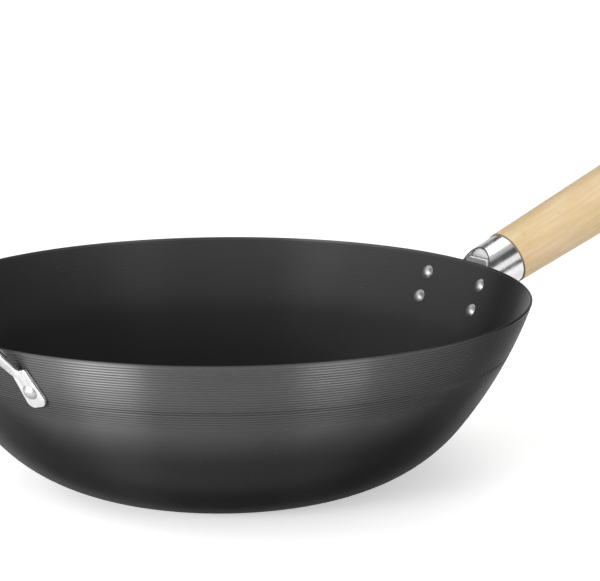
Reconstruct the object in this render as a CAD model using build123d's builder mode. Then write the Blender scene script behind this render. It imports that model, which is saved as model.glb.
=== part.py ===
from build123d import *
import os
from math import asin, cos, degrees, radians, sin, sqrt, tan

# A round, flat-bottomed wok of thin spun steel. A turned wooden handle sits in a steel ferrule
# on a riveted bracket, and a bent steel rod riveted to the far side is the helper handle.
# Millimetres, +Z up. The origin is the centre of the base's underside, +X points along the
# wooden handle, and the helper handle is on the -X side.

os.makedirs("parts", exist_ok=True)

# Bowl: outside sizes, and the slopes of its outline where the curves meet and at the rim
rim_radius = 165.0
base_radius = 60.0
bowl_height = 100.0
knee_turn = 52.5
rim_turn = 71.25
wall = 1.6
rim_round_share = 0.3

# Fits shared by the pieces
seat_gap = 0.1
hole_gap = 0.1
overrun = 2.0

# Rivets
rivet_radius = 2.5
head_radius = 4.0
head_height = 1.9

# Handle bracket: two feet on the wall, two webs, and a neck that plugs into the ferrule
bracket_drop = 19.4
bracket_plate = 2.0
column_pitch = 48.6
row_pitch = 15.2
foot_edge = 8.2
foot_corner = 6.0
neck_width = 22.0
neck_height = 20.0
neck_corner = 4.4
neck_standoff = 9.3
neck_reach = 24.0
neck_fold = 1.0

# Ferrule, the threaded disc inside it and the nut
handle_rise = 21.1
ferrule_reach = 42.2
ferrule_front_radius = 14.5
ferrule_rear_radius = 15.3
ferrule_sheet = 0.7
disc_thickness = 2.5
nut_across_flats = 10.0
nut_thickness = 5.0

# Wooden handle
wood_length = 180.0
wood_front_radius = 15.9
wood_taper_radius = 17.8
wood_swell_radius = 18.6
wood_tail_radius = 17.2
wood_end_radius = 10.4
wood_end_round = 7.5
wood_edge_round = 0.5
tenon_length = 12.0
taper_end_share = 0.45
swell_share = 0.8

# Eye bolt through the handle, and the cap under its collar
bolt_radius = 3.0
bolt_point = 1.5
bolt_chamfer = 0.6
cap_radius = 9.6
cap_thickness = 1.5
cap_edge_round = 0.6
collar_radius = 6.5
collar_length = 4.0
eye_radius = 12.0
eye_hole_radius = 7.0
eye_thickness = 5.0
eye_edge_round = 1.0

# Helper handle: a rod with pressed ends
helper_drop = 21.0
helper_spread = 118.8
helper_rise = 46.0
helper_converge = 4.0
rod_radius = 3.0
rod_neck_radius = 2.3
rod_neck_length = 13.0
rod_overlap = 1.0
loop_length = 52.0
loop_corner = 21.0
tab_lean = 16.5
tab_plate = 1.9
tab_top = 12.6
tab_bottom = 8.9
tab_top_width = 9.3
tab_bottom_width = 12.4
tab_corner = 3.6
tab_edge_round = 0.4

# The bowl's outline: two arcs that meet smoothly, worked out from its width, height and slopes
knee_sine, knee_cosine = sin(radians(knee_turn)), cos(radians(knee_turn))
rim_sine, rim_cosine = sin(radians(rim_turn)), cos(radians(rim_turn))
flank_run, flank_climb = rim_sine - knee_sine, knee_cosine - rim_cosine
arc_share = knee_sine * flank_climb - flank_run * (1 - knee_cosine)
wall_run = rim_radius - base_radius
knee_radius = (flank_climb * wall_run - flank_run * bowl_height) / arc_share
flank_radius = (knee_sine * bowl_height - (1 - knee_cosine) * wall_run) / arc_share
flank_centre_x = base_radius + (knee_radius - flank_radius) * knee_sine
flank_centre_z = knee_radius + (flank_radius - knee_radius) * knee_cosine


def shell_outline(inner, outer):
    """Close the outline of a shell along the wall, from inner to outer beyond its outside."""
    def arcs(gap):
        knee = CenterArc((base_radius, knee_radius), knee_radius + gap, -90, knee_turn)
        flank = CenterArc(
            (flank_centre_x, flank_centre_z), flank_radius + gap, knee_turn - 90, rim_turn - knee_turn
        )
        Line((0, -gap), knee @ 0)
        return flank @ 1

    Line(arcs(inner), arcs(outer))
    Line((0, -inner), (0, -outer))


def solid_outline(gap):
    """Close the outline of the whole bowl, filled, with its outside moved out by gap."""
    knee = CenterArc((base_radius, knee_radius), knee_radius + gap, -90, knee_turn)
    flank = CenterArc(
        (flank_centre_x, flank_centre_z), flank_radius + gap, knee_turn - 90, rim_turn - knee_turn
    )
    rim_height = (flank @ 1).Y
    Line((0, -gap), knee @ 0)
    Polyline(flank @ 1, (0, rim_height), (0, -gap))


def flank_spot(drop):
    """Radius, height and slope of the outside wall, drop below the rim along the wall."""
    turn = rim_turn - degrees(drop / flank_radius)
    radius = flank_centre_x + flank_radius * sin(radians(turn))
    height = flank_centre_z - flank_radius * cos(radians(turn))
    return radius, height, turn


def wall_plane(drop, azimuth, stand=0):
    """Plane on the outside wall: x runs across, y up the wall and z straight out of it."""
    radius, height, turn = flank_spot(drop)
    slope, way = radians(turn), radians(azimuth)
    out = Vector(sin(slope) * cos(way), sin(slope) * sin(way), -cos(slope))
    foot = Vector(radius * cos(way), radius * sin(way), height)
    return Plane(origin=foot + out * stand, x_dir=(-sin(way), cos(way), 0), z_dir=out)


def rivet_planes(drop, reach, around):
    """The two wall planes at reach to each side of the direction around."""
    swing = degrees(asin(reach / flank_spot(drop)[0]))
    return [wall_plane(drop, around + side * swing) for side in (-1, 1)]


# Where the rivets go: two rows of two through the bracket's feet, one through each helper tab
upper_rivets = rivet_planes(bracket_drop - row_pitch / 2, column_pitch / 2, 0)
lower_rivets = rivet_planes(bracket_drop + row_pitch / 2, column_pitch / 2, 0)
helper_rivets = rivet_planes(helper_drop, helper_spread / 2, 180)
rivet_hole = rivet_radius + hole_gap

# The handle's axis leaves the wall at the middle of the bracket
bracket_plane = wall_plane(bracket_drop, 0)
mouth_plane = wall_plane(bracket_drop, 0, neck_standoff)
bracket_side = Plane(origin=bracket_plane.origin, x_dir=bracket_plane.y_dir, z_dir=(0, 1, 0))
handle_way = Vector(cos(radians(handle_rise)), 0, sin(radians(handle_rise)))
handle_side = Plane(origin=bracket_plane.origin, x_dir=handle_way, z_dir=(0, -1, 0))
handle_axis = Axis(bracket_plane.origin, handle_way)
handle_slant = radians(handle_rise + 90 - flank_spot(bracket_drop)[2])
axis_at_mouth = neck_standoff / cos(handle_slant)
axis_shift = neck_standoff * tan(handle_slant)


def handle_plane(along):
    """Plane square to the handle's axis: x runs across and y up, away from the bowl."""
    return Plane(origin=bracket_plane.origin + handle_way * along, x_dir=(0, 1, 0), z_dir=handle_way)


def ferrule_radius(along):
    """Outside radius of the ferrule's cone at a place along the handle's axis."""
    share = (along - axis_at_mouth) / (ferrule_reach - axis_at_mouth)
    return ferrule_front_radius + share * (ferrule_rear_radius - ferrule_front_radius)


# Bowl
with BuildPart() as bowl:
    with BuildSketch(Plane.XZ) as bowl_profile:
        with BuildLine():
            shell_outline(-wall, 0)
        make_face()
        rim_corners = bowl_profile.vertices().sort_by(Axis.Y)[-2:]
        fillet(rim_corners, radius=wall * rim_round_share)
    revolve(axis=Axis.Z)
    with Locations(*upper_rivets, *lower_rivets, *helper_rivets):
        Hole(radius=rivet_hole, depth=wall + overrun)
bowl.part.label = "bowl"
export_step(bowl.part, "parts/bowl.step")

# Handle bracket: feet that follow the wall, and webs that carry the neck off it
foot_half_width = column_pitch / 2 + foot_edge
foot_half_height = row_pitch / 2 + foot_edge
web_outside = neck_width / 2
web_inside = web_outside - bracket_plate
neck_flat_rise = (neck_height / 2 - neck_corner) / cos(handle_slant)
neck_room = neck_width + neck_height
with BuildPart() as neck:
    with BuildSketch(handle_plane(neck_reach)):
        RectangleRounded(neck_width, neck_height, neck_corner)
    extrude(amount=-neck_room)
    split(bisect_by=mouth_plane, keep=Keep.TOP)
    front_edges = neck.edges().filter_by_position(
        Axis(bracket_plane.origin, bracket_plane.z_dir), neck_standoff - seat_gap, neck_standoff + seat_gap
    )
    fillet(front_edges, radius=neck_fold)
with BuildPart() as neck_hollow:
    with BuildSketch(handle_plane(neck_reach + overrun)):
        RectangleRounded(
            neck_width - 2 * bracket_plate, neck_height - 2 * bracket_plate, neck_corner - bracket_plate
        )
    extrude(amount=-neck_room)
    split(bisect_by=mouth_plane.offset(bracket_plate), keep=Keep.TOP)
with BuildPart() as handle_bracket:
    with BuildSketch(Plane.XZ):
        with BuildLine():
            shell_outline(seat_gap, seat_gap + bracket_plate)
        make_face()
    revolve(axis=Axis.Z)
    with BuildSketch(bracket_plane):
        RectangleRounded(2 * foot_half_width, 2 * foot_half_height, foot_corner)
        Rectangle(2 * web_inside, 3 * foot_half_height, mode=Mode.SUBTRACT)
    extrude(amount=neck_standoff, both=True, mode=Mode.INTERSECT)
    for side in (web_inside, -web_outside):
        with BuildSketch(bracket_side.offset(side)):
            with BuildLine():
                Polyline(
                    (-foot_half_height, -bracket_plate),
                    (foot_half_height, -bracket_plate),
                    (foot_half_height, seat_gap + bracket_plate),
                    (axis_shift + neck_flat_rise, neck_standoff + neck_fold),
                    (axis_shift - neck_flat_rise, neck_standoff + neck_fold),
                    (-foot_half_height, seat_gap + bracket_plate),
                    close=True,
                )
            make_face()
        extrude(amount=bracket_plate)
    with BuildSketch(Plane.XZ):
        with BuildLine():
            solid_outline(seat_gap)
        make_face()
    revolve(axis=Axis.Z, mode=Mode.SUBTRACT)
    with Locations(*upper_rivets, *lower_rivets):
        Hole(radius=rivet_hole, depth=neck_standoff)
    add(neck.part)
    add(neck_hollow.part, mode=Mode.SUBTRACT)
handle_bracket.part.label = "handle_bracket"
export_step(handle_bracket.part, "parts/handle_bracket.step")

# Ferrule: a slightly tapered tube whose front is cut parallel to the wall
cut_low = (neck_standoff - ferrule_rear_radius * sin(handle_slant)) / cos(handle_slant) - overrun
with BuildPart() as ferrule:
    with BuildSketch(handle_side):
        with BuildLine():
            Polyline(
                (cut_low, ferrule_radius(cut_low) - ferrule_sheet),
                (cut_low, ferrule_radius(cut_low)),
                (ferrule_reach, ferrule_rear_radius),
                (ferrule_reach, ferrule_rear_radius - ferrule_sheet),
                close=True,
            )
        make_face()
    revolve(axis=handle_axis)
    split(bisect_by=mouth_plane, keep=Keep.TOP)
ferrule.part.label = "ferrule"
export_step(ferrule.part, "parts/ferrule.step")

# Threaded disc across the inside of the ferrule, and the nut welded to its front
tenon_front = ferrule_reach - tenon_length
disc_front = tenon_front - disc_thickness
bolt_hole = bolt_radius + hole_gap
with BuildPart() as ferrule_disc:
    with BuildSketch(handle_side):
        with BuildLine():
            Polyline(
                (disc_front, bolt_hole),
                (disc_front, ferrule_radius(disc_front) - ferrule_sheet - seat_gap),
                (tenon_front, ferrule_radius(tenon_front) - ferrule_sheet - seat_gap),
                (tenon_front, bolt_hole),
                close=True,
            )
        make_face()
    revolve(axis=handle_axis)
ferrule_disc.part.label = "ferrule_disc"
export_step(ferrule_disc.part, "parts/ferrule_disc.step")

with BuildPart() as bolt_nut:
    with BuildSketch(handle_plane(disc_front - nut_thickness)):
        RegularPolygon(radius=nut_across_flats / 2, side_count=6, major_radius=False)
        Circle(bolt_hole, mode=Mode.SUBTRACT)
    extrude(amount=nut_thickness)
bolt_nut.part.label = "bolt_nut"
export_step(bolt_nut.part, "parts/bolt_nut.step")

# Wooden handle: a turned grip with a tenon in the ferrule, bored right through
wood_end = ferrule_reach + wood_length
taper_end = ferrule_reach + wood_length * taper_end_share
swell_at = ferrule_reach + wood_length * swell_share
with BuildPart() as wooden_handle:
    with BuildSketch(handle_side) as wood_profile:
        with BuildLine():
            taper = Line((ferrule_reach, wood_front_radius), (taper_end, wood_taper_radius))
            swell = TangentArc(taper @ 1, (swell_at, wood_swell_radius), tangent=taper % 1)
            tail = TangentArc(
                swell @ 1, (wood_end - wood_end_round, wood_tail_radius), tangent=swell % 1
            )
            nose = TangentArc(tail @ 1, (wood_end, wood_end_radius), tangent=tail % 1)
            Polyline(
                nose @ 1,
                (wood_end, bolt_hole),
                (tenon_front, bolt_hole),
                (tenon_front, ferrule_radius(tenon_front) - ferrule_sheet - seat_gap),
                (ferrule_reach, ferrule_rear_radius - ferrule_sheet - seat_gap),
                (ferrule_reach, wood_front_radius),
            )
        make_face()
        shoulder = wood_profile.vertices().sort_by_distance(taper @ 0)[0]
        fillet(shoulder, radius=wood_edge_round)
    revolve(axis=handle_axis)
wooden_handle.part.label = "wooden_handle"
export_step(wooden_handle.part, "parts/wooden_handle.step")

# Cap on the wood's far end
cap_outside = wood_end + cap_thickness
with BuildPart() as end_cap:
    with BuildSketch(handle_plane(wood_end)):
        Circle(cap_radius)
        Circle(bolt_hole, mode=Mode.SUBTRACT)
    extrude(amount=cap_thickness)
    fillet(end_cap.edges().group_by(handle_axis)[-1].sort_by(SortBy.RADIUS)[-1], radius=cap_edge_round)
end_cap.part.label = "end_cap"
export_step(end_cap.part, "parts/end_cap.step")

# Eye bolt: rod, collar and a flat eye to hang the wok by
bolt_start = disc_front - nut_thickness - bolt_point
collar_end = cap_outside + collar_length
eye_centre = collar_end + sqrt(eye_radius**2 - collar_radius**2)
with BuildPart() as eye_bolt:
    with BuildSketch(handle_side):
        with BuildLine():
            Polyline(
                (bolt_start, 0),
                (bolt_start, bolt_radius - bolt_chamfer),
                (bolt_start + bolt_chamfer, bolt_radius),
                (cap_outside, bolt_radius),
                (cap_outside, collar_radius),
                (collar_end, collar_radius),
                (collar_end, 0),
                close=True,
            )
        make_face()
    revolve(axis=handle_axis)
    with BuildSketch(handle_side):
        with Locations((eye_centre + (eye_radius + eye_hole_radius) / 2, 0)):
            RectangleRounded(eye_radius - eye_hole_radius, eye_thickness, eye_edge_round)
    revolve(axis=Axis(handle_plane(eye_centre).origin, handle_side.y_dir))
eye_bolt.part.label = "eye_bolt"
export_step(eye_bolt.part, "parts/eye_bolt.step")


def rivet(plane, plate):
    """One rivet through the wall and a plate on its outside, domed at both ends."""
    inner_seat = -wall - seat_gap
    outer_seat = seat_gap + plate + seat_gap
    spin_plane = Plane(origin=plane.origin, x_dir=plane.x_dir, z_dir=-plane.y_dir)
    with BuildPart() as body:
        with BuildSketch(spin_plane):
            with BuildLine():
                inner = TangentArc(
                    (0, inner_seat - head_height), (head_radius, inner_seat), tangent=(1, 0)
                )
                outer = TangentArc(
                    (0, outer_seat + head_height), (head_radius, outer_seat), tangent=(1, 0)
                )
                Polyline(
                    inner @ 1,
                    (rivet_radius, inner_seat),
                    (rivet_radius, outer_seat),
                    outer @ 1,
                )
                Line(inner @ 0, outer @ 0)
            make_face()
        revolve(axis=Axis(plane.origin, plane.z_dir))
    return body


handle_rivet_names = ["upper_right", "upper_left", "lower_right", "lower_left"]
for name, plane in zip(handle_rivet_names, upper_rivets + lower_rivets):
    handle_rivet = rivet(plane, bracket_plate)
    handle_rivet.part.label = f"handle_rivet_{name}"
    export_step(handle_rivet.part, f"parts/handle_rivet_{name}.step")

for name, plane in zip(["left", "right"], helper_rivets):
    helper_rivet = rivet(plane, tab_plate)
    helper_rivet.part.label = f"helper_rivet_{name}"
    export_step(helper_rivet.part, f"parts/helper_rivet_{name}.step")

# Helper handle: the rod's pressed tabs lie on the wall, and its loop rises away from the rim
right_tab = helper_rivets[1]
lean = radians(tab_lean)
tab_plane = Plane(
    origin=right_tab.origin + right_tab.z_dir * seat_gap,
    x_dir=right_tab.x_dir * cos(lean) + right_tab.y_dir * sin(lean),
    z_dir=right_tab.z_dir,
)
leg_start = tab_plane.from_local_coords((0, tab_top - rod_overlap, rod_neck_radius))
rise = radians(helper_rise)
loop_plane = Plane(
    origin=(leg_start.X, 0, leg_start.Z), x_dir=(-cos(rise), 0, sin(rise)), z_dir=(-sin(rise), 0, -cos(rise))
)
leg_side = -leg_start.Y
taper_in = tan(radians(helper_converge))
with BuildPart() as helper_handle:
    with BuildSketch(tab_plane):
        with BuildLine():
            Polyline(
                (-tab_bottom_width / 2, -tab_bottom),
                (tab_bottom_width / 2, -tab_bottom),
                (tab_top_width / 2, tab_top),
                (-tab_top_width / 2, tab_top),
                close=True,
            )
        tab_face = make_face()
        fillet(tab_face.vertices().sort_by(Axis.Y)[:2], radius=tab_corner)
    extrude(amount=tab_plate)
    tab_front = helper_handle.faces().sort_by(Axis(tab_plane.origin, tab_plane.z_dir))[-1]
    fillet(tab_front.edges(), radius=tab_edge_round)
    with Locations(right_tab):
        Hole(radius=rivet_hole, depth=tab_plate + overrun)
    with BuildLine(loop_plane):
        leg = Line((0, -leg_side), (rod_neck_length, -leg_side + rod_neck_length * taper_in))
    with BuildSketch(Plane(origin=leg @ 0, z_dir=leg % 0)):
        Circle(rod_neck_radius)
    with BuildSketch(Plane(origin=leg @ 1, z_dir=leg % 0)):
        Circle(rod_radius)
    loft()
    mirror(about=Plane.XZ)
    with BuildLine(loop_plane) as loop_line:
        FilletPolyline(
            (rod_neck_length, -leg_side + rod_neck_length * taper_in),
            (loop_length, -leg_side + loop_length * taper_in),
            (loop_length, leg_side - loop_length * taper_in),
            (rod_neck_length, leg_side - rod_neck_length * taper_in),
            radius=loop_corner,
        )
    with BuildSketch(Plane(origin=leg @ 1, z_dir=leg % 0)):
        Circle(rod_radius)
    sweep(path=loop_line.line)
helper_handle.part.label = "helper_handle"
export_step(helper_handle.part, "parts/helper_handle.step")
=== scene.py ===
import math

import bmesh
import bpy
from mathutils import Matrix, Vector


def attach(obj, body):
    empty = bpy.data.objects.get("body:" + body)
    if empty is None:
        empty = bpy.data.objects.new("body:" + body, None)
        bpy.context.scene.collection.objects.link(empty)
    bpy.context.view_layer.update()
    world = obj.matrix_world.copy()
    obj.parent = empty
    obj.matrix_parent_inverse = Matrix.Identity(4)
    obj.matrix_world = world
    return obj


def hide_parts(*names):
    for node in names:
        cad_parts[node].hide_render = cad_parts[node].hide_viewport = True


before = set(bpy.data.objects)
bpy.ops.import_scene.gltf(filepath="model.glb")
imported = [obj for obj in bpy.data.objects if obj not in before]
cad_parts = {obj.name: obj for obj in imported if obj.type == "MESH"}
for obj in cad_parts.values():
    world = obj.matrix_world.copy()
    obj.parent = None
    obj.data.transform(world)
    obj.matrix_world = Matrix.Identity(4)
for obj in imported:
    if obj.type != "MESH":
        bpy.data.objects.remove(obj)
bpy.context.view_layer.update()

# A turned steel wok with a wooden long handle and a bent rod helper handle.
# Metres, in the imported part's frame: +Z up, +X along the wooden handle.
mm = 0.001

# The bowl's own sizes, as the part has them
rim_radius = 165 * mm
base_radius = 60 * mm
bowl_height = 100 * mm
knee_turn = math.radians(52.5)
rim_turn = math.radians(71.25)
wall = 1.6 * mm
rim_round = 0.3 * wall

# Turning grooves on the outside, counted from the rim down the wall
first_groove = 1.3 * mm
groove_pitch = 1.46 * mm
groove_count = 28
groove_depth = 0.17 * mm
groove_fade_from = 30 * mm
grooves_end = first_groove + groove_count * groove_pitch
deep_grooves = (17, 18)
deep_groove_depth = 0.32 * mm
points_per_groove = 8
bowl_segments = 256

# Camera, in the frame: where it stands and what it looks at
camera_place = Vector((-0.5612, -0.8918, 0.3237))
camera_aim = Vector((0.03365, -0.02304, 0.10117))
camera_lens = 120
camera_sensor = 36
view_turn = math.radians(-34.4)

# Axis of the long handle: its slope, and the middle of the eye at its far end
handle_rise = math.radians(21.1)
handle_end = (379.8 * mm, 0, 167.5 * mm)

# Ways along, across and out of the helper handle's pressed end on the -Y side, and of its legs
tab_ways = ((-0.469, 0.116, 0.876), (0.255, -0.932, 0.259), (-0.846, -0.345, -0.407))
leg_ways = ((-0.695, 0, 0.719), (0, 1, 0), (0.719, 0, 0.695))
pressed_heights = (93 * mm, 91 * mm)

# The bowl's skin: tones, how much of the bare metal shows, and how dark the grooves are; on the outside the
# dark groove valleys are partly the dark coat and partly painted shade
skin_tone = 0.013
inner_skin_tone = 0.027
bare_tone = 0.158
skin_gloss = 0.11
skin_roughness = 0.45
outer_bareness = 1.0
inner_bareness = 0.16
rim_bareness = 0.45
outer_valley_coat_and_painted_shade = 0.72
deep_valley_extra_painted_shade = 0.15
inner_valley_dark = 0.35
bowl_centre_height = 150 * mm
outer_bare_heights = (42 * mm, 104 * mm)
inner_bare_heights = (56 * mm, 74 * mm)
rim_depths = (1.5 * mm, 0.3 * mm)

# The skin's painted slant shade and painted edge highlight: their factors on the colour, and how slanted
# the view is where each sets in
slant_painted_shade = 0.42
slant_painted_shade_slants = (0.42, 0.62)
edge_painted_highlight = 2.0
edge_painted_highlight_slants = (0.70, 0.92)

# The wood's colours, and how far from the eye its front end lies
wood_cream = (0.72, 0.61, 0.41, 1)
wood_honey = (0.61, 0.44, 0.22, 1)
wood_rose = (0.70, 0.51, 0.36, 1)
wood_ochre = (0.50, 0.32, 0.13, 1)
wood_pore = (0.44, 0.28, 0.13, 1)
# The dark brown of the painted shade line where the wood meets the ferrule; how far behind the wood's front
# it reaches follows.
wood_joint_painted_shade = (0.10, 0.06, 0.035, 1)
wood_front = -195.5 * mm
joint_shade_reach = (0.4 * mm, 1.0 * mm)


# Bowl

def bowl_arcs():
    """Radii of the knee and flank arcs, and the flank's centre, from the bowl's driving sizes."""
    run = math.sin(rim_turn) - math.sin(knee_turn)
    climb = math.cos(knee_turn) - math.cos(rim_turn)
    knee_climb = 1 - math.cos(knee_turn)
    share = math.sin(knee_turn) * climb - run * knee_climb
    width = rim_radius - base_radius
    knee = (climb * width - run * bowl_height) / share
    flank = (math.sin(knee_turn) * bowl_height - knee_climb * width) / share
    centre = Vector((
        base_radius + (knee - flank) * math.sin(knee_turn),
        knee + (flank - knee) * math.cos(knee_turn),
    ))
    return knee, flank, centre


knee_radius, flank_radius, flank_centre = bowl_arcs()
flank_length = flank_radius * (rim_turn - knee_turn)
knee_length = knee_radius * knee_turn


def wall_spot(drop, inset):
    """A point of the bowl's outline, drop below the rim along the outside and inset into the wall."""
    if drop < flank_length:
        turn = rim_turn - drop / flank_radius
        centre, radius = flank_centre, flank_radius
    elif drop < flank_length + knee_length:
        turn = knee_turn - (drop - flank_length) / knee_radius
        centre, radius = Vector((base_radius, knee_radius)), knee_radius
    else:
        return Vector((base_radius - (drop - flank_length - knee_length), inset))
    reach = radius - inset
    return centre + Vector((math.sin(turn), -math.cos(turn))) * reach


def groove_cut(drop):
    """How deep the turning has cut at this drop below the rim."""
    place = (drop - first_groove) / groove_pitch
    number = math.floor(place)
    if not 0 <= number < groove_count:
        return 0
    depth = deep_groove_depth if number in deep_grooves else groove_depth
    left = min(1, (grooves_end - drop) / (grooves_end - groove_fade_from))
    return depth * left * (0.5 - 0.5 * math.cos(2 * math.pi * (place - number)))


def spread(start, end, count):
    return [start + (end - start) * i / count for i in range(count)]


def bowl_outline():
    """The bowl's closed outline from the axis inside, over the rim, to the axis outside."""
    whole = flank_length + knee_length + base_radius
    smooth = spread(0, flank_length, 24) + spread(flank_length, flank_length + knee_length, 40)
    smooth += spread(flank_length + knee_length, whole, 6)
    outline = [Vector((0, wall))]
    outline += [wall_spot(d, wall) for d in reversed(smooth) if d > rim_round]
    for inset, start in ((wall - rim_round, math.pi), (rim_round, math.pi / 2)):
        for i in range(5):
            a = start - math.pi / 2 * i / 4
            outline.append(wall_spot(rim_round - rim_round * math.sin(a), inset - rim_round * math.cos(a)))
    drops = spread(rim_round, first_groove, 3)[1:]
    drops += spread(first_groove, grooves_end, groove_count * points_per_groove)
    drops += spread(grooves_end, flank_length + knee_length, 40)
    drops += spread(flank_length + knee_length, whole, 6)
    outline += [wall_spot(d, groove_cut(d)) for d in drops]
    outline.append(Vector((0, 0)))
    return outline


def lathe(name, outline, segments):
    """A closed mesh turned about Z from an outline that starts and ends on the axis."""
    rings = outline[1:-1]
    points = [(0, 0, outline[0].y)]
    for s in range(segments):
        a = 2 * math.pi * s / segments
        points += [(p.x * math.cos(a), p.x * math.sin(a), p.y) for p in rings]
    points.append((0, 0, outline[-1].y))
    count, last = len(rings), len(points) - 1
    faces = []
    for s in range(segments):
        here, there = 1 + s * count, 1 + (s + 1) % segments * count
        faces.append((0, here, there))
        faces += [(here + i, here + i + 1, there + i + 1, there + i) for i in range(count - 1)]
        faces.append((here + count - 1, last, there + count - 1))
    mesh = bpy.data.meshes.new(name)
    mesh.from_pydata(points, [], faces)
    mesh.shade_smooth()
    piece = bpy.data.objects.new(name, mesh)
    bpy.context.scene.collection.objects.link(piece)
    return piece


bowl = lathe("turned_bowl", bowl_outline(), bowl_segments)
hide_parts("bowl")
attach(bowl, "root")


# Node tools

def new_node(tree, kind, **settings):
    """A shader node with its settings made."""
    node = tree.nodes.new("ShaderNode" + kind)
    for name, value in settings.items():
        setattr(node, name, value)
    return node


def fill(socket, value):
    """Join a socket to another node's output, or write a plain value in it."""
    if isinstance(value, bpy.types.NodeSocket):
        socket.id_data.links.new(value, socket)
    else:
        socket.default_value = value


def feed(node, **values):
    """Fill a node's inputs by name."""
    for name, value in values.items():
        fill(node.inputs[name.replace("_", " ")], value)
    return node


def calc(tree, operation, *values):
    """The result of one sum on single values."""
    node = new_node(tree, "Math", operation=operation)
    for socket, value in zip(node.inputs, values):
        fill(socket, value)
    return node.outputs["Value"]


def vector_calc(tree, operation, *values):
    """The result of one sum on vectors."""
    node = new_node(tree, "VectorMath", operation=operation)
    for socket, value in zip(node.inputs, values):
        fill(socket, value)
    return node.outputs["Value" if operation in ("LENGTH", "DOT_PRODUCT") else "Vector"]


def fade(tree, value, low, high, start=0, end=1):
    """A soft step from start to end as the value goes from low to high."""
    node = new_node(tree, "MapRange", interpolation_type="SMOOTHSTEP")
    feed(node, Value=value, From_Min=low, From_Max=high, To_Min=start, To_Max=end)
    return node.outputs["Result"]


def measured(tree, place, size):
    """The place counted in steps of the given size."""
    node = new_node(tree, "VectorMath", operation="SCALE")
    fill(node.inputs["Vector"], place)
    fill(node.inputs["Scale"], calc(tree, "DIVIDE", 1.0, size))
    return node.outputs["Vector"]


def cloud(tree, place, detail, rough):
    """Cloudy noise over a place."""
    node = feed(new_node(tree, "TexNoise"), Vector=place, Scale=1.0, Detail=detail, Roughness=rough)
    return node.outputs["Fac"]


def tint(tree, share, first, second):
    """A colour between two colours."""
    node = new_node(tree, "Mix", data_type="RGBA")
    fill(node.inputs[0], share)
    fill(node.inputs[6], first)
    fill(node.inputs[7], second)
    return node.outputs[2]


def bump(tree, height, depth, under=None):
    """A normal for relief of the given depth."""
    node = feed(new_node(tree, "Bump"), Height=height, Distance=depth, Strength=1.0)
    if under is not None:
        fill(node.inputs["Normal"], under)
    return node.outputs["Normal"]


def object_place(tree):
    return new_node(tree, "TexCoord").outputs["Object"]


def turned(tree, place, centre, angle):
    """A place measured from a centre and turned about the frame's Y axis."""
    moved = vector_calc(tree, "SUBTRACT", place, centre)
    node = feed(new_node(tree, "VectorRotate", rotation_type="Y_AXIS"), Vector=moved, Angle=angle)
    return node.outputs["Vector"]


def laid_along(tree, place, along, across, out):
    """A place measured along three ways at right angles."""
    node = new_node(tree, "CombineXYZ")
    for socket, way in zip(node.inputs, (along, across, out)):
        fill(socket, vector_calc(tree, "DOT_PRODUCT", place, way))
    return node.outputs["Vector"]


def along_handle(tree):
    """The place with X along the long handle's axis."""
    return turned(tree, object_place(tree), handle_end, handle_rise)


def around_handle(tree):
    """The place with Z along the long handle's axis."""
    return turned(tree, object_place(tree), handle_end, handle_rise - math.pi / 2)


# Effects that several finishes share

def new_group(name, inputs, outputs):
    """An empty group with named sockets; a vector input has None as its value."""
    group = bpy.data.node_groups.new(name, "ShaderNodeTree")
    for socket, value in inputs.items():
        kind = "NodeSocketVector" if value is None else "NodeSocketFloat"
        made = group.interface.new_socket(socket, in_out="INPUT", socket_type=kind)
        if value is not None:
            made.default_value = value
    for socket in outputs:
        group.interface.new_socket(socket, in_out="OUTPUT", socket_type="NodeSocketFloat")
    return group, group.nodes.new("NodeGroupInput").outputs, group.nodes.new("NodeGroupOutput")


def put(tree, group, **values):
    """Place a shared effect in a material and give its outputs."""
    return feed(new_node(tree, "Group", node_tree=group), **values).outputs


def make_turning_marks():
    """Fine rings left by turning, around the place's Z axis."""
    group, given, result = new_group("turning_marks", {"Place": None, "Spacing": 0.001}, ("Height", "Line"))
    parts = feed(new_node(group, "SeparateXYZ"), Vector=given["Place"]).outputs
    flat = new_node(group, "CombineXYZ")
    fill(flat.inputs["X"], parts["X"])
    fill(flat.inputs["Y"], parts["Y"])
    across = calc(group, "ADD", vector_calc(group, "LENGTH", flat.outputs["Vector"]), parts["Z"])
    rings = new_node(group, "TexNoise", noise_dimensions="1D")
    feed(rings, W=calc(group, "DIVIDE", across, given["Spacing"]), Scale=1.0, Detail=2.0, Roughness=0.6)
    fill(result.inputs["Height"], rings.outputs["Fac"])
    fill(result.inputs["Line"], fade(group, rings.outputs["Fac"], 0.38, 0.66))
    return group


def make_rubbed_patches():
    """Soft patches where a surface is a little more or less rubbed."""
    group, given, result = new_group("rubbed_patches", {"Place": None, "Size": 0.03}, ("Patch",))
    patches = cloud(group, measured(group, given["Place"], given["Size"]), 4.0, 0.55)
    fill(result.inputs["Patch"], fade(group, patches, 0.36, 0.64))
    return group


def make_fine_pits():
    """Pinhead pits: one in some of the cells of an even scatter."""
    group, given, result = new_group(
        "fine_pits", {"Place": None, "Size": 0.003, "Share": 0.1, "Width": 0.15}, ("Pit",)
    )
    cells = feed(
        new_node(group, "TexVoronoi"), Vector=measured(group, given["Place"], given["Size"]), Scale=1.0
    )
    red = feed(new_node(group, "SeparateColor"), Color=cells.outputs["Color"]).outputs[0]
    chosen = calc(group, "LESS_THAN", red, given["Share"])
    reach = calc(group, "SUBTRACT", 1.0, calc(group, "DIVIDE", cells.outputs["Distance"], given["Width"]))
    fill(result.inputs["Pit"], calc(group, "MULTIPLY", chosen, calc(group, "MAXIMUM", reach, 0.0)))
    return group


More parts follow.
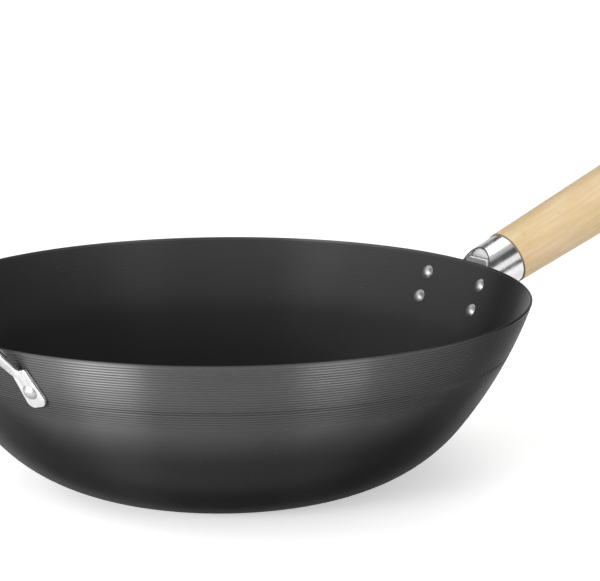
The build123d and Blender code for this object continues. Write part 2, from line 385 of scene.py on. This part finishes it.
def make_drawn_lines():
    """Fine scratches along the place's X axis, from drawing or brushing."""
    group, given, result = new_group(
        "drawn_lines", {"Place": None, "Spacing": 0.0004, "Length": 0.02}, ("Height", "Line")
    )
    parts = feed(new_node(group, "SeparateXYZ"), Vector=given["Place"]).outputs
    scaled = feed(
        new_node(group, "CombineXYZ"),
        X=calc(group, "DIVIDE", parts["X"], given["Length"]),
        Y=calc(group, "DIVIDE", parts["Y"], given["Spacing"]),
        Z=calc(group, "DIVIDE", parts["Z"], given["Spacing"]),
    )
    lines = cloud(group, scaled.outputs["Vector"], 3.0, 0.6)
    fill(result.inputs["Height"], lines)
    fill(result.inputs["Line"], fade(group, lines, 0.38, 0.64))
    return group


turning_marks = make_turning_marks()
rubbed_patches = make_rubbed_patches()
fine_pits = make_fine_pits()
drawn_lines = make_drawn_lines()


# Finishes

def new_material(name, **constants):
    """A material, its nodes and its shader, with the values that are the same all over."""
    material = bpy.data.materials.new(name)
    material.use_nodes = True
    shader = material.node_tree.nodes["Principled BSDF"]
    feed(shader, **constants)
    return material, material.node_tree, shader


def grey(value):
    return (value, value, value, 1)


def groove_valley(tree, place):
    """One at the bottom of a turning groove and nothing on its ridges, and one on the deeper grooves."""
    height = feed(new_node(tree, "SeparateXYZ"), Vector=place).outputs["Z"]
    radius = vector_calc(tree, "LENGTH", vector_calc(tree, "MULTIPLY", place, (1, 1, 0)))
    beyond = calc(tree, "SUBTRACT", radius, flank_centre.x)
    below = calc(tree, "SUBTRACT", flank_centre.y, height)
    turn = calc(tree, "ARCTAN2", beyond, below)
    drop = calc(tree, "MULTIPLY", calc(tree, "SUBTRACT", rim_turn, turn), flank_radius)
    number = calc(tree, "DIVIDE", calc(tree, "SUBTRACT", drop, first_groove), groove_pitch)
    wave = calc(tree, "COSINE", calc(tree, "MULTIPLY", number, 2 * math.pi))
    valley = calc(tree, "MULTIPLY_ADD", wave, -0.5, 0.5)
    begun = calc(tree, "GREATER_THAN", number, 0.0)
    left = fade(tree, drop, groove_fade_from, grooves_end, 1, 0)
    after = calc(tree, "GREATER_THAN", number, deep_grooves[0])
    before = calc(tree, "LESS_THAN", number, deep_grooves[-1] + 1)
    deep = calc(tree, "MULTIPLY", after, before)
    return calc(tree, "MULTIPLY", valley, calc(tree, "MULTIPLY", begun, left)), deep


def wall_sides(tree, place):
    """One on the bowl's outside, and one on its inside."""
    normal = new_node(tree, "TexCoord").outputs["Normal"]
    outwards = vector_calc(tree, "SUBTRACT", place, (0, 0, bowl_centre_height))
    outside = calc(tree, "GREATER_THAN", vector_calc(tree, "DOT_PRODUCT", normal, outwards), 0.0)
    return outside, calc(tree, "SUBTRACT", 1.0, outside)


def bare_share(tree, place, outside, inside, worn):
    """How much bare metal shows: the ridges of the turning near the rim, and the rim itself. On the outside
    the darker valleys are partly the dark coat and partly painted shade in the grooves.
    """
    height = feed(new_node(tree, "SeparateXYZ"), Vector=place).outputs["Z"]
    valley, deep = groove_valley(tree, place)
    outer_band = calc(tree, "MULTIPLY", outside, fade(tree, height, *outer_bare_heights, 0, outer_bareness))
    inner_band = calc(tree, "MULTIPLY", inside, fade(tree, height, *inner_bare_heights, 0, inner_bareness))
    # The outer valleys' darkening stands partly for the dark coat in them and partly for painted shade in
    # the grooves.
    depth = calc(tree, "MULTIPLY_ADD", deep, -deep_valley_extra_painted_shade, -outer_valley_coat_and_painted_shade)
    outer_ridges = calc(tree, "MULTIPLY_ADD", valley, depth, 1.0)
    inner_ridges = calc(tree, "MULTIPLY_ADD", valley, -inner_valley_dark, 1.0)
    outer_bare = calc(tree, "MULTIPLY", outer_band, outer_ridges)
    inner_bare = calc(tree, "MULTIPLY", inner_band, inner_ridges)
    rubbed = calc(tree, "MULTIPLY", calc(tree, "ADD", outer_bare, inner_bare), worn)
    rim = fade(tree, height, bowl_height - rim_depths[0], bowl_height - rim_depths[1])
    return calc(tree, "MULTIPLY_ADD", rim, calc(tree, "SUBTRACT", rim_bareness, rubbed), rubbed)


def painted_slant_shade_and_edge_highlight(tree):
    """Painted shade and highlight on the colour: darker where the wall is seen at a slant, and a painted
    highlight brightening it at its edge.
    """
    slant = feed(new_node(tree, "LayerWeight"), Blend=0.5).outputs["Facing"]
    dark = fade(tree, slant, *slant_painted_shade_slants, 1.0, slant_painted_shade)
    return calc(tree, "ADD", dark, fade(tree, slant, *edge_painted_highlight_slants, 0.0, edge_painted_highlight))


def oven_dark_steel():
    """The bowl's skin: dark and smooth below, and barer and brighter where it was turned near the rim."""
    material, tree, shader = new_material(
        "oven_dark_steel", Specular_IOR_Level=skin_gloss, Specular_Tint=grey(0.4), Anisotropic=1.0,
        Anisotropic_Rotation=0.25
    )
    tangent = new_node(tree, "Tangent", direction_type="RADIAL", axis="Z")
    fill(shader.inputs["Tangent"], tangent.outputs["Tangent"])
    place = object_place(tree)
    outside, inside = wall_sides(tree, place)
    rings = put(tree, turning_marks, Place=place, Spacing=1.0 * mm)
    patch = put(tree, rubbed_patches, Place=place, Size=38 * mm)["Patch"]
    pit = put(tree, fine_pits, Place=place, Size=6 * mm, Share=0.14, Width=0.09)["Pit"]
    worn = calc(tree, "MULTIPLY_ADD", rings["Line"], 0.16, calc(tree, "MULTIPLY_ADD", patch, 0.10, 0.84))
    metal = bare_share(tree, place, outside, inside, worn)
    outer_skin = tint(tree, worn, grey(skin_tone * 0.7), grey(skin_tone * 1.3))
    inner_skin = tint(tree, worn, grey(inner_skin_tone * 0.8), grey(inner_skin_tone * 1.1))
    skin = tint(tree, inside, outer_skin, inner_skin)
    colour = tint(tree, metal, skin, grey(bare_tone))
    dusted = tint(tree, calc(tree, "MULTIPLY", pit, 0.6), colour, grey(0.14))
    # The colour is multiplied by a painted slant shade and a painted edge highlight.
    fill(shader.inputs["Base Color"], vector_calc(tree, "MULTIPLY", dusted, painted_slant_shade_and_edge_highlight(tree)))
    fill(shader.inputs["Metallic"], metal)
    gloss = calc(tree, "MULTIPLY_ADD", patch, 0.05, skin_roughness)
    fill(shader.inputs["Roughness"], calc(tree, "MULTIPLY_ADD", rings["Line"], -0.03, gloss))
    relief = bump(tree, rings["Height"], 0.03 * mm)
    fill(shader.inputs["Normal"], bump(tree, pit, -0.05 * mm, relief))
    return material


def handle_wood():
    """Pale honey wood: soft growth bands and fine fibres along the handle, and short dark pores."""
    material, tree, shader = new_material(
        "pale_handle_wood", Specular_IOR_Level=0.25, Coat_Weight=0.08, Coat_Roughness=0.35
    )
    grain = along_handle(tree)
    sway = cloud(tree, vector_calc(tree, "DIVIDE", grain, (144 * mm, 16 * mm, 16 * mm)), 1.0, 0.5)
    parts = feed(new_node(tree, "SeparateXYZ"), Vector=grain).outputs
    across = calc(tree, "MULTIPLY_ADD", parts["Z"], 0.86, calc(tree, "MULTIPLY", parts["Y"], 0.5))
    leaning = calc(tree, "MULTIPLY_ADD", parts["X"], -0.05, across)
    swayed = calc(tree, "MULTIPLY_ADD", sway, 9 * mm, leaning)
    bands = new_node(tree, "TexNoise", noise_dimensions="1D")
    feed(bands, W=calc(tree, "DIVIDE", swayed, 4.2 * mm), Scale=1.0, Detail=3.0, Roughness=0.6)
    band = fade(tree, bands.outputs["Fac"], 0.30, 0.74)
    line = fade(tree, bands.outputs["Fac"], 0.60, 0.70)
    fibre = put(tree, drawn_lines, Place=grain, Spacing=0.7 * mm, Length=26 * mm)
    streak = put(tree, drawn_lines, Place=grain, Spacing=2.6 * mm, Length=60 * mm)["Line"]
    broad, middling, slender = (
        vector_calc(tree, "MULTIPLY", grain, (share, 1, 1)) for share in (0.35, 0.3, 0.16)
    )
    rosy = put(tree, rubbed_patches, Place=broad, Size=17 * mm)["Patch"]
    mellow = put(tree, rubbed_patches, Place=middling, Size=9 * mm)["Patch"]
    pore = put(tree, fine_pits, Place=slender, Size=1.5 * mm, Share=0.3, Width=0.26)["Pit"]
    body = tint(tree, calc(tree, "MULTIPLY", band, 0.6), wood_cream, wood_honey)
    body = tint(tree, calc(tree, "MULTIPLY", rosy, 0.7), body, wood_rose)
    body = tint(tree, calc(tree, "MULTIPLY", mellow, 0.6), body, wood_honey)
    body = tint(tree, calc(tree, "MULTIPLY", streak, 0.45), body, wood_honey)
    body = tint(tree, calc(tree, "MULTIPLY", line, 0.2), body, wood_ochre)
    body = tint(tree, calc(tree, "MULTIPLY", fibre["Line"], 0.24), body, wood_honey)
    body = tint(tree, calc(tree, "MULTIPLY", pore, 0.75), body, wood_pore)
    # A painted shade line on the wood's front end, where it meets the ferrule.
    joint_shade = fade(tree, parts["X"], wood_front + joint_shade_reach[0], wood_front + joint_shade_reach[1], 0.85, 0)
    fill(shader.inputs["Base Color"], tint(tree, joint_shade, body, wood_joint_painted_shade))
    fill(shader.inputs["Roughness"], calc(tree, "MULTIPLY_ADD", fibre["Line"], 0.12, 0.42))
    relief = bump(tree, fibre["Height"], 0.04 * mm)
    fill(shader.inputs["Normal"], bump(tree, pore, -0.08 * mm, relief))
    return material


def ferrule_plating():
    """Polished plating with faint rings from polishing, the dullness of handling and a matt inside."""
    material, tree, shader = new_material("ferrule_plating")
    place = around_handle(tree)
    way = turned(tree, new_node(tree, "TexCoord").outputs["Normal"], (0, 0, 0), handle_rise - math.pi / 2)
    facing = vector_calc(tree, "DOT_PRODUCT", way, vector_calc(tree, "MULTIPLY", place, (1, 1, 0)))
    inside = calc(tree, "LESS_THAN", facing, -2 * mm)
    rings = put(tree, turning_marks, Place=place, Spacing=0.5 * mm)
    patch = put(tree, rubbed_patches, Place=place, Size=9 * mm)["Patch"]
    pit = put(tree, fine_pits, Place=place, Size=2.2 * mm, Share=0.1, Width=0.1)["Pit"]
    polished = tint(tree, rings["Line"], grey(0.72), grey(0.80))
    matt = tint(tree, patch, grey(0.78), grey(0.88))
    fill(shader.inputs["Base Color"], tint(tree, inside, polished, matt))
    fill(shader.inputs["Metallic"], calc(tree, "MULTIPLY_ADD", inside, -0.95, 1.0))
    haze = calc(tree, "MULTIPLY_ADD", patch, 0.06, 0.18)
    dull = calc(tree, "MULTIPLY_ADD", inside, 0.25, haze)
    fill(shader.inputs["Roughness"], calc(tree, "MULTIPLY_ADD", pit, 0.2, dull))
    fill(shader.inputs["Normal"], bump(tree, rings["Height"], 0.004 * mm))
    return material


def brushed_bracket_steel():
    """Pressed sheet, brushed along the handle, with pits where the press held it."""
    material, tree, shader = new_material("brushed_bracket_steel", Metallic=1.0)
    place = along_handle(tree)
    lines = put(tree, drawn_lines, Place=place, Spacing=0.25 * mm, Length=14 * mm)
    patch = put(tree, rubbed_patches, Place=place, Size=8 * mm)["Patch"]
    pit = put(tree, fine_pits, Place=place, Size=1.6 * mm, Share=0.2, Width=0.16)["Pit"]
    tone = tint(tree, lines["Line"], grey(0.72), grey(0.88))
    fill(shader.inputs["Base Color"], tint(tree, calc(tree, "MULTIPLY", pit, 0.4), tone, grey(0.4)))
    fill(shader.inputs["Roughness"], calc(tree, "MULTIPLY_ADD", patch, 0.08, 0.33))
    relief = bump(tree, lines["Height"], 0.012 * mm)
    fill(shader.inputs["Normal"], bump(tree, pit, -0.02 * mm, relief))
    return material


def satin_rivet_steel():
    """Rivet heads closed by a press: satin, with small pits and rubbed tops."""
    material, tree, shader = new_material("satin_rivet_steel", Metallic=1.0)
    place = object_place(tree)
    patch = put(tree, rubbed_patches, Place=place, Size=2.6 * mm)["Patch"]
    pit = put(tree, fine_pits, Place=place, Size=0.9 * mm, Share=0.25, Width=0.2)["Pit"]
    fill(shader.inputs["Base Color"], tint(tree, patch, grey(0.35), grey(0.48)))
    fill(shader.inputs["Roughness"], calc(tree, "MULTIPLY_ADD", patch, 0.08, 0.46))
    fill(shader.inputs["Normal"], bump(tree, pit, -0.01 * mm))
    return material


def drawn_rod_steel():
    """The helper handle: a polished drawn rod, brushed down its pressed ends."""
    material, tree, shader = new_material("drawn_rod_steel", Metallic=1.0)
    place = object_place(tree)
    side = vector_calc(tree, "MULTIPLY", vector_calc(tree, "ABSOLUTE", place), (-1, -1, 1))
    pressed = fade(tree, feed(new_node(tree, "SeparateXYZ"), Vector=place).outputs["Z"], *pressed_heights)
    tab_place, leg_place = laid_along(tree, side, *tab_ways), laid_along(tree, place, *leg_ways)
    brushed = put(tree, drawn_lines, Place=tab_place, Spacing=0.45 * mm, Length=12 * mm)
    drawn = put(tree, drawn_lines, Place=leg_place, Spacing=0.5 * mm, Length=30 * mm)
    patch = put(tree, rubbed_patches, Place=place, Size=7 * mm)["Patch"]
    rod_tone = tint(tree, drawn["Line"], grey(0.66), grey(0.74))
    tab_tone = tint(tree, brushed["Line"], grey(0.66), grey(0.92))
    fill(shader.inputs["Base Color"], tint(tree, pressed, rod_tone, tab_tone))
    polish = calc(tree, "MULTIPLY_ADD", patch, 0.04, 0.14)
    fill(shader.inputs["Roughness"], calc(tree, "MULTIPLY_ADD", pressed, 0.2, polish))
    depth = calc(tree, "MULTIPLY", brushed["Height"], pressed)
    fill(shader.inputs["Normal"], bump(tree, depth, 0.05 * mm))
    return material


def dull_zinc():
    """The disc and nut inside the ferrule: a pale matt zinc coat with a bloom and specks."""
    material, tree, shader = new_material("dull_zinc", Specular_IOR_Level=0.4)
    place = around_handle(tree)
    patch = put(tree, rubbed_patches, Place=place, Size=4 * mm)["Patch"]
    pit = put(tree, fine_pits, Place=place, Size=1.2 * mm, Share=0.2, Width=0.2)["Pit"]
    bloom = tint(tree, patch, grey(0.74), grey(0.86))
    fill(shader.inputs["Base Color"], tint(tree, calc(tree, "MULTIPLY", pit, 0.4), bloom, grey(0.5)))
    fill(shader.inputs["Metallic"], calc(tree, "MULTIPLY_ADD", patch, -0.1, 0.25))
    fill(shader.inputs["Roughness"], calc(tree, "MULTIPLY_ADD", patch, 0.1, 0.42))
    fill(shader.inputs["Normal"], bump(tree, pit, -0.02 * mm))
    return material


def turned_fitting_steel():
    """The eye bolt and what it pulls on: turned steel, with rubbed patches and pits."""
    material, tree, shader = new_material("turned_fitting_steel", Metallic=1.0)
    place = around_handle(tree)
    rings = put(tree, turning_marks, Place=place, Spacing=0.7 * mm)
    patch = put(tree, rubbed_patches, Place=place, Size=5 * mm)["Patch"]
    pit = put(tree, fine_pits, Place=place, Size=1.8 * mm, Share=0.15, Width=0.15)["Pit"]
    fill(shader.inputs["Base Color"], tint(tree, rings["Line"], grey(0.58), grey(0.72)))
    fill(shader.inputs["Roughness"], calc(tree, "MULTIPLY_ADD", patch, 0.08, 0.22))
    relief = bump(tree, rings["Height"], 0.012 * mm)
    fill(shader.inputs["Normal"], bump(tree, pit, -0.03 * mm, relief))
    return material


def dress(material, *nodes):
    """Give CAD pieces their finish."""
    for node in nodes:
        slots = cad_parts[node].data.materials
        slots.clear()
        slots.append(material)


bowl.data.materials.append(oven_dark_steel())
dress(handle_wood(), "wooden_handle")
dress(ferrule_plating(), "ferrule")
dress(brushed_bracket_steel(), "handle_bracket")
dress(satin_rivet_steel(), *[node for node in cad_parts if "rivet" in node])
dress(drawn_rod_steel(), "helper_handle")
dress(dull_zinc(), "ferrule_disc", "bolt_nut")
dress(turned_fitting_steel(), "end_cap", "eye_bolt")


# Camera

def look_at(thing, place, aim):
    thing.location = place
    thing.rotation_euler = (aim - place).to_track_quat("-Z", "Y").to_euler()


camera_data = bpy.data.cameras.new("camera")
camera_data.lens = camera_lens
camera_data.sensor_width = camera_sensor
camera = bpy.data.objects.new("camera", camera_data)
bpy.context.scene.collection.objects.link(camera)
look_at(camera, camera_place, camera_aim)
bpy.context.scene.camera = camera


# Floor, lamps and world

floor_radius = 0.9
floor_fade = (0.45, 0.88)

# How brightly the floor glows where it is seen, and where metal reflects it, by distance from the wok; the
# weaker glow near the wok is a painted shade around it
seen_glow_with_near_painted_shade = (0.36, 0.66)
seen_reach = (0.05, 0.17)
mirror_glow_with_near_painted_shade = (0.1, 0.65)
mirror_reach = (0.16, 0.36)

# How much of the world behind gloss and glass show
gloss_share = 0.65

floor_mesh = bpy.data.meshes.new("floor")
shape = bmesh.new()
bmesh.ops.create_circle(shape, cap_ends=True, segments=128, radius=floor_radius)
shape.to_mesh(floor_mesh)
shape.free()
floor = bpy.data.objects.new("floor", floor_mesh)
bpy.context.scene.collection.objects.link(floor)


def seen_rays(tree):
    """One for rays from the camera, and one for rays that gloss or glass sends on."""
    rays = new_node(tree, "LightPath").outputs
    return rays["Is Camera Ray"], calc(tree, "MAXIMUM", rays["Is Glossy Ray"], rays["Is Transmission Ray"])


def seen_directly(tree):
    """One for rays from the camera, a share of it for gloss and glass, and nothing for the others."""
    camera_ray, gloss_ray = seen_rays(tree)
    return calc(tree, "MAXIMUM", camera_ray, calc(tree, "MULTIPLY", gloss_ray, gloss_share))


def pale_floor():
    """A white floor that fades out into the white backdrop, with a painted shade around the wok where it
    glows less.
    """
    material, tree, shader = new_material(
        "pale_floor", Base_Color=grey(0.92), Roughness=0.9, Specular_IOR_Level=0.0, Emission_Color=grey(1.0)
    )
    distance = vector_calc(tree, "LENGTH", object_place(tree))
    fill(shader.inputs["Alpha"], fade(tree, distance, *floor_fade, 1, 0))
    camera_ray, gloss_ray = seen_rays(tree)
    # Near the wok the glow is weaker, a painted shade on the floor and in its reflection.
    seen = calc(tree, "MULTIPLY", camera_ray, fade(tree, distance, *seen_reach, *seen_glow_with_near_painted_shade))
    reflected = calc(tree, "MULTIPLY", gloss_ray, fade(tree, distance, *mirror_reach, *mirror_glow_with_near_painted_shade))
    fill(shader.inputs["Emission Strength"], calc(tree, "MAXIMUM", seen, reflected))
    return material


floor.data.materials.append(pale_floor())


lamp_aim = Vector((0, 0, 0.08))
lamp_reach = 1.5


def studio_way(azimuth, elevation):
    """A direction from the photograph's azimuth (the camera at -90) and elevation, in the frame."""
    a, e = math.radians(azimuth) + view_turn, math.radians(elevation)
    return Vector((math.cos(a) * math.cos(e), math.sin(a) * math.cos(e), math.sin(e)))


def softbox(name, azimuth, elevation, width, height, power):
    """A lamp that shines at the wok from a studio direction, with its size in metres and its watts."""
    data = bpy.data.lights.new(name, "AREA")
    data.shape = "RECTANGLE"
    data.size, data.size_y = width, height
    data.energy = power
    lamp = bpy.data.objects.new(name, data)
    bpy.context.scene.collection.objects.link(lamp)
    look_at(lamp, lamp_aim + studio_way(azimuth, elevation) * lamp_reach, lamp_aim)


softbox("low_left_softbox", -129, 6, 0.6, 0.6, 29)
softbox("low_left_fill", -146, 8, 0.8, 0.6, 7)
softbox("left_softbox", -165, 35, 0.8, 0.6, 5)
softbox("low_right_softbox", -50, 6, 0.6, 0.6, 12)
softbox("right_softbox", -38, 17, 1.4, 0.6, 2.5)
softbox("back_softbox", 130, 50, 0.8, 0.6, 4)
softbox("top_softbox", 60, 66, 1.0, 1.0, 5)

world = bpy.data.worlds.new("studio")
bpy.context.scene.world = world
world.use_nodes = True
room = world.node_tree
background = room.nodes["Background"]
background.inputs["Color"].default_value = grey(1.0)
room_light = 0.06
way = new_node(room, "TexCoord").outputs["Generated"]


def glow_towards(middle, closeness, glow):
    """A field of the room around a direction, which glows more as the cosine of the angle from it grows."""
    return fade(room, vector_calc(room, "DOT_PRODUCT", way, middle), *closeness, *glow)


backdrop = glow_towards(studio_way(90, 5), (0.82, 0.97), (0.13, 1.1))
ceiling = glow_towards(studio_way(-25, 78), (0.88, 0.95), (0.0, 0.9))
in_gloss = calc(room, "MULTIPLY", seen_directly(room), calc(room, "MAXIMUM", backdrop, ceiling))
shown = calc(room, "MAXIMUM", seen_rays(room)[0], in_gloss)
fill(background.inputs["Strength"], calc(room, "MAXIMUM", shown, room_light))

scene = bpy.context.scene
scene.view_settings.view_transform = "Standard"
